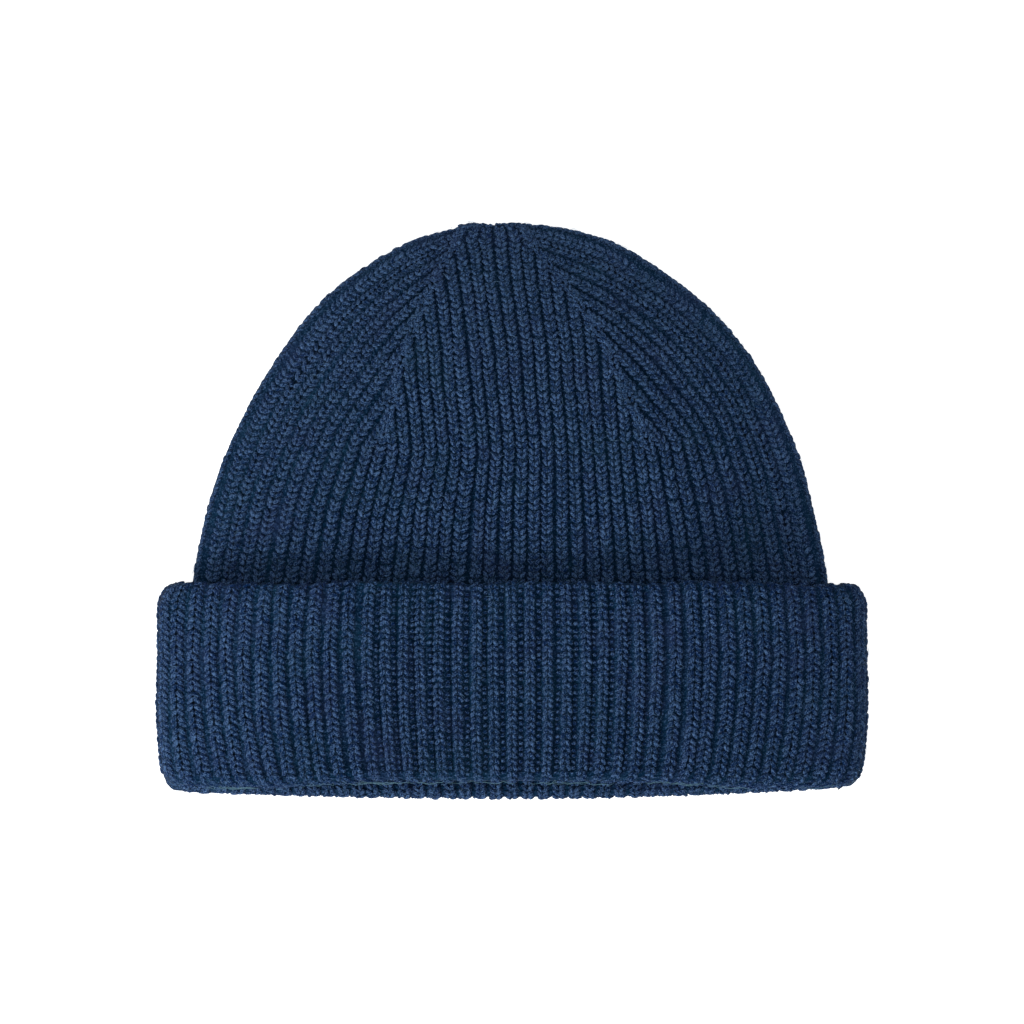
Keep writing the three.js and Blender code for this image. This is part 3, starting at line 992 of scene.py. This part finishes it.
def fibre_finish(name, dark, pale):
    """Single fibres of wool, coloured paler than the yarn that they come from; on the hem this is painted
    highlight.
    """
    finish = Finish(name)
    tone = finish.node("ShaderNodeAttribute", {"attribute_name": "tone"}, {}, "Fac")
    sockets = {"Base Color": finish.mix(tone, dark, pale), "Roughness": WOOL_ROUGHNESS}
    sockets["Specular IOR Level"] = 0.1
    fibre = finish.node("ShaderNodeBsdfPrincipled", {}, sockets)
    finish.node("ShaderNodeOutputMaterial", {}, {"Surface": fibre})
    return finish.material


def strand_shape(x, y, z):
    """A thin three-sided strand along y, one millimetre a ring before it is stretched."""
    return x * STRAND_RADIUS, z * (STRAND_RINGS - 1) / 2, y * STRAND_RADIUS


def laid_strand(start_u):
    """The hem strand's points, laid along the fold from a rib of the front."""
    turn = math.radians(draw_lots.normal(STRAND_TURN, TURN_SCATTER))
    crests = np.arange(0, STRAND_KNOTS + 2, 2)
    wave = np.interp(np.arange(STRAND_KNOTS), crests, draw_lots.normal(0, STRAND_WAVE, len(crests)))
    outside = HEM_RADIUS + STRAND_STAND
    ups, depths = zip(*[hem_turn(turn + offset * WAVE_TURN, outside + offset) for offset in wave])
    path_u = start_u + np.arange(STRAND_KNOTS) * draw_lots.uniform(*STRAND_STEPS)
    line = Column(cuff_points(path_u, ups, depths), np.tile((0.0, 1.0, 0.0), (STRAND_KNOTS, 1)), 1)
    stretched = hem_strand.points * (1, line.travel[-1] / (STRAND_RINGS - 1), 1)
    return line.lay(stretched, np.array([line.travel[-1] / 2]), np.zeros(1), 1)


hem_strand = Strand(3, STRAND_RINGS, strand_shape)
laid_strands = [laid_strand(start_u) for start_u in draw_lots.uniform(*STRAND_STARTS, HEM_STRANDS)]
strand_tones = draw_lots.normal(STRAND_TONE, STRAND_TONE_SPREAD, (HEM_STRANDS, 1))
strand_tones = strand_tones * np.ones(len(hem_strand.points))
# Painted highlight: the hem strands are coloured pale, as fibres catching the light.
highlight_fibre = fibre_finish("highlight_fibre", DULL_TEAL, HIGHLIGHT_TEAL)
hem_fibres = joined_piece("hem_fibres", hem_strand, np.concatenate(laid_strands), strand_tones, highlight_fibre)

# Loose fibres: the soft wool sheds short curled hairs, which stand off the stitches all over the hat. Each
# bends up to a crest between its two ends, a little aside of a rib's middle, and a rib's ends are bare.
CROWN_HAIRS = 2200
CUFF_HAIRS = 1400
HAIR_RADIUS = 0.045
HAIR_HALF_LENGTH = 1.1
HAIR_LENGTHS = (0.6, 1.4)
HAIR_STAND = 0.25
HAIR_CREST = 0.35
HAIR_ASIDE = 1.8
BARE_END = 2
HAIR_NAVY = (0.03, 0.07, 0.14, 1)
HAIR_BLUE = (0.12, 0.22, 0.36, 1)


def hair_shape(x, y, z):
    return x * HAIR_RADIUS, z * HAIR_HALF_LENGTH, HAIR_STAND + y * HAIR_RADIUS + HAIR_CREST * (1 - z * z)


hair = Strand(3, 5, hair_shape)
loose_fibre = fibre_finish("loose_fibre", HAIR_NAVY, HAIR_BLUE)


def hairs(name, columns, count):
    """Hairs at random places on columns of stitches, each turned its own way."""
    laid = []
    for pick in draw_lots.integers(0, len(columns), count):
        column = columns[pick]
        travel = draw_lots.uniform(BARE_END, column.travel[-1] - BARE_END)
        root = column.at(column.points, travel)
        out = column.at(column.out, travel)
        side = unit(column.at(column.across, travel))
        turn = draw_lots.uniform(0, math.tau)
        ahead = side * math.cos(turn) + np.cross(out, side) * math.sin(turn)
        beside = np.cross(out, ahead)
        root = root + side * draw_lots.uniform(-HAIR_ASIDE, HAIR_ASIDE)
        hair_points = hair.points * (1, draw_lots.uniform(*HAIR_LENGTHS), 1)
        laid.append(root + hair_points @ np.array([beside, ahead, out]))
    laid = np.array(laid)
    laid[..., 2] = np.maximum(laid[..., 2], LOWEST)
    tones = draw_lots.uniform(0, 1, (count, 1)) * np.ones(len(hair.points))
    return joined_piece(name, hair, laid, tones, loose_fibre)


all_crown_columns = [column for section in SECTIONS for column in crown_columns[section]]
crown_fibres = hairs("crown_fibres", all_crown_columns, CROWN_HAIRS)
cuff_fibres = hairs("cuff_fibres", front_columns + back_columns, CUFF_HAIRS)

# The surface is a light table that glows evenly, in the light of a pale sky. A soft lamp stands low at
# the left beyond the hem, and a wide one hangs overhead.
WHITE = (0.8, 0.8, 0.8, 1)
GLOW = (1, 1, 1, 1)
SKY = (0.88, 0.95, 1, 1)

floor_mesh = bpy.data.meshes.new("floor")
sheet = bmesh.new()
bmesh.ops.create_grid(sheet, x_segments=1, y_segments=1, size=4)
sheet.to_mesh(floor_mesh)
sheet.free()
floor = bpy.data.objects.new("floor", floor_mesh)
scene.collection.objects.link(floor)
floor.location = (0, 0, -0.1 * MM)
pale = Finish("pale_floor")
sockets = {"Base Color": WHITE, "Roughness": 0.9, "Emission Color": GLOW, "Emission Strength": 0.75}
pale.node("ShaderNodeOutputMaterial", {}, {"Surface": pale.node("ShaderNodeBsdfPrincipled", {}, sockets)})
floor.data.materials.append(pale.material)

world = bpy.data.worlds.new("studio")
world.use_nodes = True
world.node_tree.nodes["Background"].inputs["Color"].default_value = SKY
world.node_tree.nodes["Background"].inputs["Strength"].default_value = 0.6
scene.world = world


def lamp(name, place, size, energy):
    """A square lamp that faces the hat; its place and size are in metres."""
    light = bpy.data.objects.new(name, bpy.data.lights.new(name, "AREA"))
    scene.collection.objects.link(light)
    light.data.energy = energy
    light.data.size = size
    light.location = place
    light.rotation_euler = (-Vector(place)).to_track_quat("-Z", "Y").to_euler()


lamp("key_lamp", place=(-0.9, -1.3, 0.9), size=0.6, energy=36)
lamp("overhead_lamp", place=(-0.3, 0, 3.2), size=1.5, energy=24)
